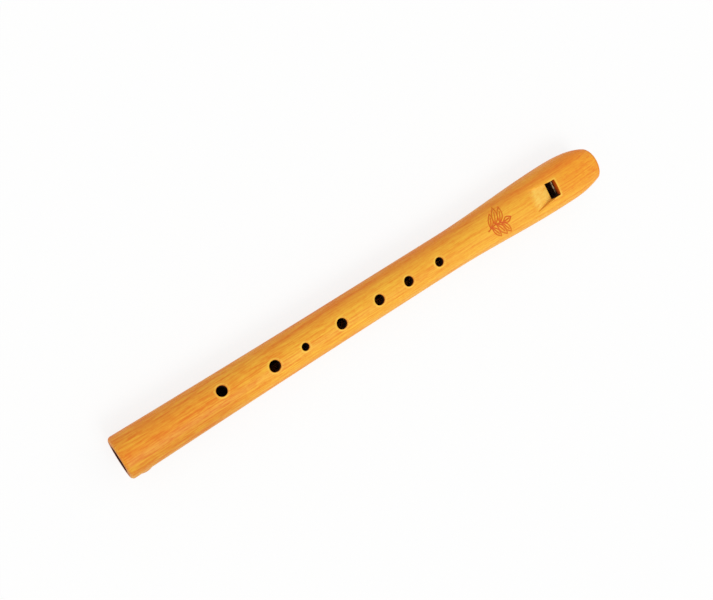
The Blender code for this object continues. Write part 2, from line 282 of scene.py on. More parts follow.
class StudioSetting(PropertyGroup):
    """The floor, the light and the camera."""

    floor_colour: colour("Floor colour", "Pale floor as light bounces from it", (0.80, 0.80, 0.79))
    floor_glow: part("Floor glow", "White that the floor adds where it is seen", 0.82)
    floor_size: metres("Floor size", "Side of the floor", 6.0)
    sky_strength: amount("Sky strength", "Even light from all round", 0.72)
    key_strength: amount("Key strength", "Strength of the soft lamp on the player's left", 0.95)
    key_lean: turn("Key lean", "How far the soft lamp stands from straight above", 32)
    key_spread: turn("Key spread", "Width of the soft lamp as the flute sees it", 30)
    camera_lens: amount("Lens", "Focal length in mm on a 36 mm frame", 50.49)
    camera_height: metres("Camera height", "From the bore's axis to the camera", 0.53576)
    camera_behind: metres("Camera behind", "How far the camera stands behind the foot", 0.02935)
    camera_azimuth: turn("Camera azimuth", "How far the camera leans to the player's right", 12.7)
    camera_pitch: turn("Camera pitch", "How far the camera looks along the flute", 19.092)
    camera_aim: turn("Camera aim", "Small turn that centres the flute across", 0.4459)
    camera_roll: turn("Camera roll", "Slope of the flute in the picture", 32.33)


def share(value, start, end):
    """How far a value lies on the way from start to end, held between 0 and 1."""
    return np.clip((value - start) / (end - start), 0, 1)


def between(length, start, end):
    """How far a length lies on the way between two that are given in mm."""
    return share(length, start * MM, end * MM)


def ease(value):
    """The smooth step 3v^2 - 2v^3."""
    return value * value * (3 - 2 * value)


def signed_power(value, power):
    """|v| to a power, with the sign of v."""
    return np.sign(value) * np.abs(value) ** power


def soft_max(first, second, blend):
    """The larger of two, plus h^2 blend / 4, where h is the share of the blend by which they don't differ."""
    overlap = np.maximum(blend - np.abs(first - second), 0) / blend
    return np.maximum(first, second) + overlap**2 * blend / 4


def quarter_round(radius, depth):
    """How far a quarter round has drawn in at a depth below its top: r - sqrt(r^2 - (r - d)^2)."""
    left = np.clip(radius - depth, 0, radius)
    return radius - np.sqrt(radius**2 - left**2)


def crowded(start, end, coarse, spans):
    """Places from start to end, spaced by coarse, or finer within (low, high, spacing) spans: equal
    shares of the integral of one over the spacing."""
    grid = np.linspace(start, end, 40001)
    spacing = np.full_like(grid, coarse)
    for low, high, fine in spans:
        spacing = np.where((grid > low) & (grid < high), np.minimum(spacing, fine), spacing)
    count = np.concatenate([[0], np.cumsum(np.diff(grid) / spacing[1:])])
    return np.interp(np.linspace(0, count[-1], math.ceil(count[-1]) + 1), count, grid)


def rest_height(outside):
    """Height of the bore's axis over the floor: the foot's greatest radius, less the facet it lies on."""
    flare = (1 - outside.foot_edge_round / outside.foot_flare_end) ** FOOT_FLARE_POWER
    return (outside.body_radius + outside.foot_flare * flare) * math.cos(FACET_HALF)


def in_frame(outside, station, across, height):
    """Points of the frame: stations from the middle of the flute, heights from the floor."""
    station, across, height = np.broadcast_arrays(station, across, height)
    return np.stack([station - outside.length / 2, across, height + rest_height(outside)], axis=-1)


def from_frame(outside, points):
    """Station, across and height of points of the frame."""
    return points[:, 0] + outside.length / 2, points[:, 1], points[:, 2] - rest_height(outside)


def turned_radius(outside, station):
    """Body radius, plus the foot's flare (1 - s/end)^1.6, less the quarter round of its edge."""
    flare = outside.foot_flare * (1 - share(station, 0, outside.foot_flare_end)) ** FOOT_FLARE_POWER
    return outside.body_radius + flare - quarter_round(outside.foot_edge_round, station)


def beak_hollow(outside, station):
    """Height of the drum's side that hollows the beak's underside: centre + sqrt(r^2 - (L - s)^2)."""
    reach = np.maximum(outside.beak_cut_radius**2 - (outside.length - station) ** 2, 0)
    return outside.beak_underside - outside.beak_cut_radius + np.sqrt(reach)


def outside_section(outside, station, angle, inset=0.0):
    """Across and height of the outside: a circle along the body and a superellipse along the head,
    |y/a|^n + |z/b|^n = 1 about its widest line, lifted to the hollow under the beak."""
    radius = turned_radius(outside, station) - inset
    to_tip = share(station, outside.head_widest, outside.length)
    swell = outside.head_half_width - outside.body_radius
    half_width = radius + swell * ease(share(station, outside.head_start, outside.head_widest))
    half_width = half_width - (outside.head_half_width - outside.tip_half_width) * to_tip**TIP_NARROWING
    middle = outside.tip_middle_rise * ease(to_tip)
    top = radius - (outside.body_radius - outside.tip_top) * to_tip**TIP_TOP_FALL
    reach = np.where(np.sin(angle) > 0, top - middle, radius + middle)
    fullness = ease(share(station, outside.head_start, outside.length))
    power = 2 / (2 + (TIP_SQUARENESS - 2) * fullness)
    across = half_width * signed_power(np.cos(angle), power) + outside.tip_lean * to_tip**TIP_LEAN_POWER
    height = middle + reach * signed_power(np.sin(angle), power)
    return across, soft_max(height, beak_hollow(outside, station) + inset, outside.beak_edge_round)


def with_nub(outside, station, angle, across, height):
    """Lifts the section to an ellipsoid near the foot, with a soft change where they meet."""
    along, wide, out = outside.nub_size
    distance = np.hypot(across, height)
    beside = (angle - outside.nub_angle + math.pi) % (2 * math.pi) - math.pi
    inside = 1 - ((station - outside.nub_station) / along) ** 2 - (distance * beside / wide) ** 2
    dome = outside.nub_radius + out * np.sqrt(np.maximum(inside, 0))
    scale = np.where(inside > 0, soft_max(distance, dome, NUB_BLEND) / distance, 1)
    return across * scale, height * scale


def leaf_lines(start, end, width, steps=14):
    """A leaf as three lines: two edges, bowed as sin(pi t) and a little fuller near the root, and the
    midrib over most of the way."""
    along = np.linspace(0, 1, steps + 1)[:, None]
    spine = start + (end - start) * along
    beside = np.array([start[1] - end[1], end[0] - start[0]]) / np.linalg.norm(end - start)
    bow = width / 2 * np.sin(math.pi * along) * (1.12 - 0.24 * along)
    return [spine + beside * bow, spine - beside * bow, start + (end - start) * along * RIB_SHARE]


def sprig_lines(sprig):
    """The sprig's lines in plan, as (station, across) points: an S-curved stem, pairs of leaves and one
    leaf at the end."""

    def stem(way):
        return np.stack([sprig.length * (way - 0.5), STEM_SWAY * np.sin(2 * math.pi * (way - 0.1))], axis=-1)

    lines = [stem(np.linspace(0, STEM_SHARE, 25))]
    for place, size in LEAF_PAIRS:
        for side in (1, -1):
            root = stem(place + LEAF_STAGGER * (side < 0))
            lean = side * sprig.lean
            tip = root + size * sprig.leaf_length * np.array([math.cos(lean), math.sin(lean)])
            lines += leaf_lines(root, tip, size * sprig.leaf_width)
    root = stem(STEM_SHARE)
    end = root + np.array([sprig.length * (1 - STEM_SHARE), 0.5 * MM])
    return lines + leaf_lines(root, end, sprig.leaf_width)


def carved_share(sprig, station, across, height):
    """Depth of the carving, from 0 to 1: (1 - (d/w)^2)^2, where d is the distance in plan to the
    nearest line and w is half of a line's width."""
    lines = sprig_lines(sprig)
    start = np.concatenate([line[:-1] for line in lines])
    step = np.concatenate([line[1:] - line[:-1] for line in lines])
    result = np.zeros(np.shape(station))
    reach = sprig.length / 2 + 2 * MM
    near = (np.abs(station - sprig.station) < reach) & (np.abs(across) < reach) & (height > 0)
    points = np.stack([station[near] - sprig.station, across[near]], axis=-1)
    nearest = np.full(len(points), np.inf)
    for origin, way in zip(start, step):
        along = np.clip((points - origin) @ way / (way @ way), 0, 1)
        nearest = np.minimum(nearest, np.hypot(*(points - origin - along[:, None] * way).T))
    result[near] = (1 - np.minimum(nearest / sprig.groove_half_width, 1) ** 2) ** 2
    return result


def tip_end(outside, across):
    """Station of the tip's arched end: L - r + sqrt(r^2 - y^2), where y is taken from the leaning middle."""
    radius = outside.tip_arc_radius
    return outside.length - radius + np.sqrt(radius**2 - (across - outside.tip_lean) ** 2)


def fitted_to_tip(outside, nominal, angle):
    """Moves stations beyond the head's widest place so that the last one lies on the arched end, and
    gives what is left to that end. The section depends on the station, so both are worked out by turns
    until they agree."""
    way = (nominal - outside.head_widest) / (outside.length - outside.head_widest)
    station = nominal
    for _ in range(TIP_ROUNDS):
        end = tip_end(outside, outside_section(outside, station, angle)[0])
        station = np.where(way > 0, outside.head_widest + (end - outside.head_widest) * way, nominal)
    return station, end - station


def tube_mesh(name, rings):
    """A closed mesh of rings, each joined to the next by quads, with a fan from the middle of each end
    ring. All faces are turned round when the sum of the signed volumes, det(a, b, c) / 6 of each triangle, is
    negative."""
    count, around = rings.shape[:2]
    points = np.concatenate([rings.reshape(-1, 3), rings[[0, -1]].mean(axis=1)])
    step = np.arange(around)
    after = (step + 1) % around
    row, last = np.arange(count - 1)[:, None] * around, (count - 1) * around
    corners = (row + step, row + after, row + around + after, row + around + step)
    quads = np.stack(corners, axis=-1).reshape(-1, 4)
    near = np.stack([np.full(around, last + around), after, step], axis=-1)
    far = np.stack([np.full(around, last + around + 1), last + step, last + after], axis=-1)
    triangles = np.concatenate([quads[:, [0, 1, 2]], quads[:, [0, 2, 3]], near, far])
    if np.linalg.det(points[triangles]).sum() < 0:
        quads, near, far = quads[:, ::-1], near[:, ::-1], far[:, ::-1]
    mesh = bpy.data.meshes.new(name)
    mesh.from_pydata(points.tolist(), [], quads.tolist() + near.tolist() + far.tolist())
    return mesh


def add_piece(name, mesh):
    piece = bpy.data.objects.new(name, mesh)
    bpy.context.scene.collection.objects.link(piece)
    return piece


def cut(piece, cutters):
    """Takes the cutters away from a piece and keeps the result as its mesh, and removes the cutters."""
    for cutter in cutters:
        modifier = piece.modifiers.new(cutter.name, "BOOLEAN")
        modifier.object = cutter
        modifier.operation = "DIFFERENCE"
        modifier.solver = "MANIFOLD"
    evaluated = piece.evaluated_get(bpy.context.evaluated_depsgraph_get())
    mesh = bpy.data.meshes.new_from_object(evaluated)
    piece.modifiers.clear()
    whole = piece.data
    piece.data = mesh
    bpy.data.meshes.remove(whole)
    for cutter in cutters:
        bpy.data.meshes.remove(cutter.data)
    mesh.name = piece.name
    if len(mesh.polygons) == 0:
        raise RuntimeError(f"{piece.name} has no faces left after its cuts")


def points_of(mesh):
    points = np.empty(len(mesh.vertices) * 3, np.float32)
    mesh.vertices.foreach_get("co", points)
    return points.reshape(-1, 3).astype(float)


def set_masks(mesh, masks):
    """Values for each point, which the materials read by their names."""
    for name, values in masks.items():
        mask = mesh.attributes.new(name, "FLOAT", "POINT")
        mask.data.foreach_set("value", np.clip(values, 0, 1).astype(np.float32))


def outside_rings(outside, holes, sprig):
    """The outside as rings of points: crowded stations by crowded angles, with the nub, the carving, the
    round edges and both ends closed by shrinking rings."""
    length = outside.length
    reach = sprig.length / 2 + 0.9 * MM
    spans = [
        (0, 20 * MM, 0.8 * MM),
        (outside.head_start, length, 1.3 * MM),
        (sprig.station - reach, sprig.station + reach, 0.17 * MM),
        (outside.head_widest - 22 * MM, length, 0.75 * MM),
        (length - 2.2 * MM, length, 0.14 * MM),
    ]
    spans += [(place - 5 * MM, place + 5 * MM, 0.9 * MM) for place, _, _ in hole_places(holes)]
    turns = np.radians([(46, 134, 0.85), (174, 212, 2.2), (328, 360, 2.4)])
    edge = outside.foot_edge_round * (1 - np.cos(np.linspace(0, math.pi / 2, 11)))
    nominal = np.concatenate([edge[:-1], crowded(edge[-1], length, 2.3 * MM, spans)])[:, None]
    angles = crowded(0, 2 * math.pi, math.radians(3.6), turns)[None, :-1]

    station, to_end = fitted_to_tip(outside, nominal + 0 * angles, angles)
    section = outside_section(outside, station, angles, quarter_round(outside.tip_edge_round, to_end))
    across, height = with_nub(outside, station, angles, *section)
    depth = sprig.groove_depth * carved_share(sprig, station, across, height)
    scale = 1 - depth / np.hypot(across, height)
    across, height = across * scale, height * scale
    foot = [in_frame(outside, 0.0, across[0] * inner, height[0] * inner) for inner in (0.35, 0.7)]
    rings = in_frame(outside, station, across, height)
    return np.concatenate([np.stack(foot), rings, arched_end(outside, across[-1], height[-1])])


def arched_end(outside, across, height):
    """Rings that close an end by the tip: an outline drawn towards its middle, on the arched end."""
    middle = (height.max() + height.min()) / 2
    rings = []
    for inner in END_RINGS:
        beside = outside.tip_lean + (across - outside.tip_lean) * inner
        rings.append(in_frame(outside, tip_end(outside, beside), beside, middle + (height - middle) * inner))
    return np.stack(rings)


def hole_places(holes):
    """Each finger hole as its station, diameter and turn from the top."""
    front = [(place, width, 0.0) for place, width in zip(holes.stations, holes.diameters)]
    little = (holes.little_station, holes.little_diameter, holes.little_turn)
    return [*front, little, (holes.thumb_station, holes.thumb_diameter, math.pi)]


def bore_rings(outside, holes):
    """The bore's cutter: a turned profile that opens in a quarter round at the foot."""
    angle = np.linspace(math.pi / 2, 0, 9)
    mouth = holes.bore_radius + holes.mouth_round * (1 - np.cos(angle))
    station = holes.mouth_round * (1 - np.sin(angle))
    station = np.concatenate([[-OVERCUT, -OVERCUT], station, [outside.length + 2 * OVERCUT]])[:, None]
    radius = np.concatenate([[1 * MM, mouth[0]], mouth, [holes.bore_radius]])[:, None]
    around = np.linspace(0, 2 * math.pi, BORE_POINTS, endpoint=False)
    return in_frame(outside, station, radius * np.cos(around), radius * np.sin(around))


def rim_rows(rim_round, turned, steps, beyond, above):
    """How far out and how deep the rows of a cutter lie: up the wall, round the rim's fillet by an angle
    in degrees, and last beyond the fillet and above the surface."""
    bend = np.linspace(0, math.radians(turned), steps)
    out = np.concatenate([0 * WALL_STEPS, rim_round * (1 - np.cos(bend)), [rim_round + beyond]])
    depth = np.concatenate([WALL_STEPS * MM, rim_round * (1 - np.sin(bend)), [-above]])
    return out[:, None], depth[:, None]


def with_top(station, across, height, top):
    """The rows of a cutter, and the last of them once more at the height of its top."""
    height = np.concatenate([height, np.full_like(height[-1:], top)])
    return np.concatenate([station, station[-1:]]), np.concatenate([across, across[-1:]]), height


def drill_rings(outside, holes, place, width, lean):
    """A finger hole's cutter: straight from inside the bore, then a fillet that follows the round
    outside, where a point (x, y) of it has the height sqrt(R^2 - y^2) - d, and out past the surface."""
    around = np.linspace(0, 2 * math.pi, HOLE_POINTS, endpoint=False)
    out, depth = rim_rows(holes.rim_round, 80, 8, *HOLE_REACH)
    station = place + (width / 2 + out) * np.cos(around)
    beside = (width / 2 + out) * np.sin(around)
    rise = np.sqrt(turned_radius(outside, station) ** 2 - beside**2) - depth
    rise[0] = holes.bore_radius / 2
    station, beside, rise = with_top(station, beside, rise, outside.body_radius + OVERCUT)
    across = beside * math.cos(lean) + rise * math.sin(lean)
    return in_frame(outside, station, across, rise * math.cos(lean) - beside * math.sin(lean))


def top_height(outside, station, across):
    """Height of the outside over a point of the upper half, by halving the range of the angle."""
    low, high = np.zeros(np.shape(station + across)), np.full(np.shape(station + across), math.pi / 2)
    for _ in range(HALVINGS):
        angle = (low + high) / 2
        beyond = outside_section(outside, station, angle)[0] > np.abs(across)
        low, high = np.where(beyond, angle, low), np.where(beyond, high, angle)
    return outside_section(outside, station, high)[1]


def window_rings(outside, holes, voicing):
    """The window's cutter: a rounded rectangle that rises from the bore and ends in a fillet which
    follows the outside, apart from the labium's edge. Its long edges have points between the corners."""
    centre = voicing.window_head_end - voicing.cut_up / 2
    half = np.array([voicing.cut_up / 2, voicing.half_width])
    corner = np.radians(np.concatenate([np.linspace(start, start + 90, 9) for start in (0, 90, 180, 270)]))
    signs = np.repeat([[1, 1], [-1, 1], [-1, -1], [1, -1]], 9, axis=0)
    rounding = np.where(signs[:, :1] > 0, HEAD_CORNER, LABIUM_CORNER)
    toward = np.stack([np.cos(corner), np.sin(corner)], axis=-1)
    edge = signs * (half - rounding) + toward * rounding
    beside = np.linspace(-0.96, 0.96, 25)[:, None] * (half[1] - HEAD_CORNER)
    by_head, outward = np.hstack([0 * beside + half[0], beside]), np.hstack([0 * beside + 1, 0 * beside])
    edge = np.concatenate([edge[:18], -by_head, edge[18:], by_head])
    toward = np.concatenate([toward[:18], -outward, toward[18:], outward])
    out, depth = rim_rows(voicing.rim_round, 78, 6, *WINDOW_REACH)
    station = centre + edge[:, 0] + toward[:, 0] * out * (toward[:, 0] >= -0.5)
    across = edge[:, 1] + toward[:, 1] * out
    height = top_height(outside, station, across) - depth
    height[0] = holes.bore_radius / 2
    return in_frame(outside, *with_top(station, across, height, SKY))


def slope_rings(outside, half_width, floor, stations, tops):
    """A cutter across the flute whose top slopes from one end to the other."""
    across = np.array([-half_width, half_width, half_width, -half_width])
    heights = [np.array([floor, floor, top, top]) for top in tops]
    return np.stack([in_frame(outside, place, across, height) for place, height in zip(stations, heights)])


def ramp_side(outside, station, foot, floor, rounding):
    """Across and height of a side of the ramp: a fillet from the floor's edge that follows the outside
    and reaches further where the wall is low, then out past the surface and up."""
    wall = np.maximum(top_height(outside, station, foot) - floor, 0)
    size = np.minimum(rounding, 0.8 * wall + 0.02 * MM)
    reach = size + 0.9 * MM * (1 - between(wall, 0.05, 0.7))
    bend = np.linspace(0, math.radians(76), 6)
    out = foot + reach * (1 - np.cos(bend)) + 0.04 * wall
    rise = np.maximum(top_height(outside, station, out) - size * (1 - np.sin(bend)), floor + 0.01 * MM)
    last = out[:, -1:] + 0.6 * MM
    last_rise = top_height(outside, station, last) + 0.15 * MM
    return np.hstack([out, last, last]), np.hstack([rise, last_rise, np.full_like(last, SKY)])


def ramp_rings(outside, voicing):
    """The ramp's cutter. Its floor is ruled from the straight labium to the outside's own curve at the
    far end, where it runs out as (d + sqrt(d^2 + b^2)) / 2 for a depth d and a blend b, and its sides
    rise to fillets that follow the outside, crisp on one side and worn on the other."""
    labium = voicing.window_head_end - voicing.cut_up
    edge_height = voicing.labium_underside + voicing.labium_thickness
    along = np.concatenate([[-0.14], np.linspace(0, 0.7, 8), np.linspace(0.74, 1.36, 24)])[:, None]
    station = labium - voicing.ramp_length * along
    side = np.linspace(-1, 1, 25)
    far_across = voicing.ramp_far_half_width * side
    across = voicing.half_width * side * (1 - along) + far_across * along
    far_height = top_height(outside, labium - voicing.ramp_length, far_across)
    far_height = far_height - voicing.ramp_far_bow * (1 - side**2)
    height = edge_height + (far_height - edge_height) * along
    below, blend = top_height(outside, station, across) - height, voicing.ramp_far_blend
    soft = (below + np.sqrt(below**2 + blend**2)) / 2 - 0.12 * blend
    height = height + (below - soft) * ease(share(along, 0.2, 0.7))
    corner = (outside, station, across[:, -1:], height[:, -1:])
    right, right_rise = ramp_side(*corner, voicing.far_side_round)
    left, left_rise = ramp_side(*corner, voicing.near_side_round)
    across = np.hstack([across, right, -left[:, ::-1]])
    return in_frame(outside, station, across, np.hstack([height, right_rise, left_rise[:, ::-1]]))


def body_cuts(outside, holes, voicing):
    """The rings of each cutter: the bore, the finger holes, the window, the windway under its sloping
    roof, the undercut behind the labium, and the ramp."""
    head_end, half_width, inner = voicing.window_head_end, voicing.half_width, holes.bore_radius / 2
    labium = head_end - voicing.cut_up
    windway = np.array([head_end - voicing.cut_up / 2, outside.length + OVERCUT])
    roof = voicing.windway_roof - voicing.roof_fall * (windway - head_end) / (outside.length - head_end)
    undercut = np.array([labium - voicing.undercut_length, windway[0]])
    under = voicing.labium_underside + math.tan(voicing.undercut_angle) * (undercut - labium)
    return [
        bore_rings(outside, holes),
        *(drill_rings(outside, holes, *place) for place in hole_places(holes)),
        window_rings(outside, holes, voicing),
        slope_rings(outside, half_width, inner, windway, roof),
        slope_rings(outside, half_width, inner, undercut, under),
        ramp_rings(outside, voicing),
    ]


def block_rings(outside, holes, voicing):
    """The block: a round plug with a rail whose flat top is the windway's floor. A section goes round the
    plug to the rail's corner and over its top; the underside follows the beak's hollow, the front edge
    has its chamfer, and the far end follows the tip's arch."""
    start, length = voicing.window_head_end, outside.length
    radius = holes.bore_radius - voicing.block_gap
    rail = voicing.half_width - voicing.block_gap
    corner = math.acos(rail / radius)
    below = np.linspace(math.pi - corner, 2 * math.pi + corner, 97)
    across = np.concatenate([[-rail], radius * np.cos(below), np.linspace(rail, -rail, 17)[:-1]])
    front_rows = voicing.block_chamfer * np.array([0, 0.5, 1, 1.08])
    from_front = np.concatenate([front_rows, np.linspace(1.2 * MM, length - start, 46)])[:, None]
    station = start + (tip_end(outside, across) - start) * from_front / (length - start)
    chamfer = np.maximum(voicing.block_chamfer - (station - start), 0)
    floor = voicing.windway_floor - voicing.floor_fall * share(station, start, length) - chamfer
    plug = np.broadcast_to(radius * np.sin(below), (len(station), len(below)))
    height = np.hstack([floor[:, :1], plug, floor[:, 1 + len(below) :]])
    height = soft_max(height, beak_hollow(outside, station), BLOCK_BLEND)
    front = [in_frame(outside, start, across * inner, height[0] * inner) for inner in (0.1, 0.5, 0.85)]
    rings = in_frame(outside, station, across, height)
    return np.concatenate([np.stack(front), rings, arched_end(outside, across, height[-1])])


def rim_band(off_rim, middle, half_width):
    """1 on a band about a distance outside a rim, which fades out to its half width, both in mm."""
    return 1 - between(np.abs(off_rim - middle * MM), 0.1, half_width)


def hole_masks(outside, holes, station, across, height):
    """How deep each point is below the round outside, how near it is to the band outside a finger hole's rim
    that gets a painted highlight, and how near to the side of one that lies towards the head, which is
    painted redder."""
    depth = turned_radius(outside, station) - np.hypot(across, height)
    rim, oiled = np.zeros(len(station)), np.zeros(len(station))
    for place, width, lean in hole_places(holes):
        beside = across * math.cos(lean) - height * math.sin(lean)
        out = across * math.sin(lean) + height * math.cos(lean)
        off_rim = np.hypot(station - place, beside) - width / 2
        near = (out > 0) & (depth < 0.3 * MM)
        # The head side beside a hole is painted redder
        side = share((station - place) / width, 0, 0.3) * (1 - between(off_rim, 0.3, 0.75))
        rim = np.where(near, np.maximum(rim, rim_band(off_rim, 0.6, 0.7)), rim)
        oiled = np.where(near, np.maximum(oiled, side), oiled)
    return depth, rim, oiled


def tip_edge_shade(outside, station, across, height):
    """A thin line of painted shade that runs round the tip where its end rounds off and turns from the light,
    and along the flanks a little above their widest line, where it fades out."""
    to_end = tip_end(outside, across) - station
    middle = outside.tip_middle_rise * ease(share(station, outside.head_widest, outside.length))
    inwards = np.minimum(to_end, (height - middle) * 0.7)
    line = np.exp(-(((inwards - TIP_SHADE_INSET) / TIP_SHADE_WIDTH) ** 2))
    right, left, full = TIP_SHADE_REACH
    reach = share(station, outside.length - np.where(across > 0, right, left), outside.length - full)
    return np.where(height > 0, line * ease(reach), 0)


def ramp_parts(outside, voicing, station, across, height):
    """Which points lie on the ramp and which of these on its left wall, and how deep each point lies below
    the outside over the ramp and the window."""
    labium = voicing.window_head_end - voicing.cut_up
    spread = share(labium - station, 0, voicing.ramp_length)
    half_width = voicing.half_width + (voicing.ramp_far_half_width - voicing.half_width) * spread
    below_top = top_height(outside, station, np.minimum(np.abs(across), half_width)) - height
    on_ramp = (station > labium - voicing.ramp_length * 1.4) & (station < labium + TOUCH)
    on_ramp &= (np.abs(across) < half_width + 0.2 * MM) & (height > voicing.labium_underside - TOUCH)
    return on_ramp, on_ramp & (across < 0.1 * MM - half_width) & (below_top > 0.3 * MM), below_top


def body_masks(outside, holes, voicing, sprig, points):
    """What each point of the body is, from 0 to 1: red wall, partly stain and partly painted shade; near
    black wall, which is painted shade; fresh cut; rim band with a painted highlight; carved line; or the
    painted shade line round the tip."""
    station, across, height = from_frame(outside, points)
    depth, rim, oiled = hole_masks(outside, holes, station, across, height)
    on_ramp, ramp_wall, below_top = ramp_parts(outside, voicing, station, across, height)
    head_end, window_half = voicing.window_head_end, voicing.half_width
    labium = head_end - voicing.cut_up

    in_window = (station >= labium + TOUCH) & (np.abs(across) < window_half + TOUCH)
    in_window &= (height > 0) | (np.hypot(across, height) < holes.bore_radius + 0.05 * MM)
    in_hole = (depth > TOUCH) & (station < labium) & ~on_ramp
    inner = in_hole | (in_window & (station < tip_end(outside, across) - 0.4 * MM))
    below = np.where(in_window, below_top, depth)
    off_beak = between(height - beak_hollow(outside, station), 0.2, 1.5)
    end_wall = in_window & (station > head_end - 0.06 * MM) & (height > voicing.windway_roof - 0.05 * MM)
    foot_face = (station < 0.01 * MM) & (depth > -TOUCH)

    # Painted shade: the ramp's left wall, which faces away from the lamp, is painted red; the head side
    # beside a hole is painted redder
    on_wall = np.where(ramp_wall, RAMP_WALL_SHADE, HEAD_SIDE_RED * oiled)
    stained = np.where(inner, between(below, *STAIN_DEPTHS), on_wall) * off_beak
    stained = stained * (1 - share(station, head_end + 20 * MM, outside.length - 3 * MM))
    # Painted shade on the window's end wall: redder further down
    end_wall_shade = 0.5 * between(below, 0.02, 0.3) + 0.5 * between(below, 0.1, 1.4)
    stained = np.where(end_wall & (station < head_end + 2 * MM), end_wall_shade, stained)
    # Painted shade on the foot's end face, which faces away from the light
    stained = np.where(foot_face, FOOT_FACE_RED_SHADE, stained)

    # Painted shade: inner walls turn near black further down
    hollow = np.where(inner, between(below, *HOLLOW_DEPTHS), 0) * off_beak
    # Painted shade on the window's end wall: darker further down and on the left half, in the shadow of the
    # window's left wall
    shady = 0.38 * between(below, 1, 3.4) + 0.26 * between(-across, 0.5, 4) * between(below, 1, 3)
    hollow = np.where(end_wall, shady, hollow)
    hollow = hollow * (1 - share(station, head_end + 8 * MM, outside.length - 4 * MM))
    hollow = np.where(foot_face, FOOT_SHADE, hollow)

    # Painted highlight in a band round the window's rims
    off_middle = np.abs(station - labium - voicing.cut_up / 2) - voicing.cut_up / 2
    by_window = (depth < 0.35 * MM) & (station > labium) & (height > 0)
    window_rim_highlight = rim_band(np.maximum(off_middle, np.abs(across) - window_half), 0.5, 0.8)
    return {
        "stained": stained,
        "hollow": hollow,
        "fresh": np.where(on_ramp, between(below_top, 0.1, 1), 0),
        "worn": np.where(by_window, np.maximum(rim, window_rim_highlight), rim),
        "carved": carved_share(sprig, station, across, height) ** CARVED_FADE,
        "tip_edge_shade": tip_edge_shade(outside, station, across, height),
    }


def block_masks(outside, voicing, points):
    """The block's front and the near part of the windway's floor are painted dark as shade, and so is the
    chamfer, but for three painted highlights where light through the window catches it."""
    station, across, height = from_frame(outside, points)
    from_front = station - voicing.window_head_end
    on_chamfer = height > voicing.windway_floor - 1.1 * voicing.block_chamfer
    on_chamfer &= from_front < 1.04 * voicing.block_chamfer
    bright = np.zeros(len(points))
    for place, width, strength in GLINT_SPOTS:
        bright += strength * np.exp(-(((across / MM - place) / width) ** 2))
    hollow = np.where(on_chamfer, 0.97 - 0.92 * np.minimum(bright, 1), 1 - between(from_front, 6, 26))
    return {"worn": np.where(on_chamfer, bright, 0), "hollow": hollow}


def connect(tree, node, links):
    """Links each input of a node from a socket, or sets it to a value. A colour gets its alpha."""
    for name, value in links.items():
        if isinstance(value, bpy.types.NodeSocket):
            tree.links.new(value, node.inputs[name])
        else:
            node.inputs[name].default_value = (*value, 1) if isinstance(value, Color) else value


def add_node(tree, kind, links, **options):
    """A node with its options and its inputs."""
    node = tree.nodes.new(kind)
    for name, value in options.items():
        setattr(node, name, value)
    connect(tree, node, links)
    return node


def scaled(tree, place, factors):
    """The place with each of its parts multiplied."""
    return add_node(tree, "ShaderNodeVectorMath", {0: place, 1: factors}, operation="MULTIPLY").outputs[0]


def noise(tree, place, scale, detail=3.0, roughness=0.55):
    """Noise drawn out by a scale for each axis."""
    links = {"Vector": scaled(tree, place, scale), "Scale": 1.0, "Detail": detail, "Roughness": roughness}
    return add_node(tree, "ShaderNodeTexNoise", links).outputs["Fac"]


def from_range(tree, value, low, high, to_low=0.0, to_high=1.0):
    """The value carried from one range to another with a smooth step, and held inside it."""
    links = {"Value": value, "From Min": low, "From Max": high, "To Min": to_low, "To Max": to_high}
    return add_node(tree, "ShaderNodeMapRange", links, interpolation_type="SMOOTHSTEP").outputs["Result"]


def maths(tree, operation, first, *others):
    """The values joined one after another by an operation."""
    for other in others:
        first = add_node(tree, "ShaderNodeMath", {0: first, 1: other}, operation=operation).outputs[0]
    return first


def times(tree, *factors):
    return maths(tree, "MULTIPLY", *factors)


def plus(tree, *terms):
    return maths(tree, "ADD", *terms)


def blended(tree, factor, first, second, blend_type="MIX"):
    """Two colours mixed by a factor."""
    links = {0: factor, 6: first, 7: second}
    return add_node(tree, "ShaderNodeMix", links, data_type="RGBA", blend_type=blend_type).outputs[2]


def held(tree, value):
    """The value held between 0 and 1."""
    return add_node(tree, "ShaderNodeClamp", {"Value": value}).outputs[0]


def new_group(name, inputs, outputs):
    """A node group with sockets named under their kinds, the sockets that it is given and its output node."""
    tree = bpy.data.node_groups.new(name, "ShaderNodeTree")
    for in_out, kinds in (("INPUT", inputs), ("OUTPUT", outputs)):
        for kind, labels in kinds.items():
            for label in labels:
                tree.interface.new_socket(label, in_out=in_out, socket_type=f"NodeSocket{kind}")
    return tree, tree.nodes.new("NodeGroupInput").outputs, tree.nodes.new("NodeGroupOutput")


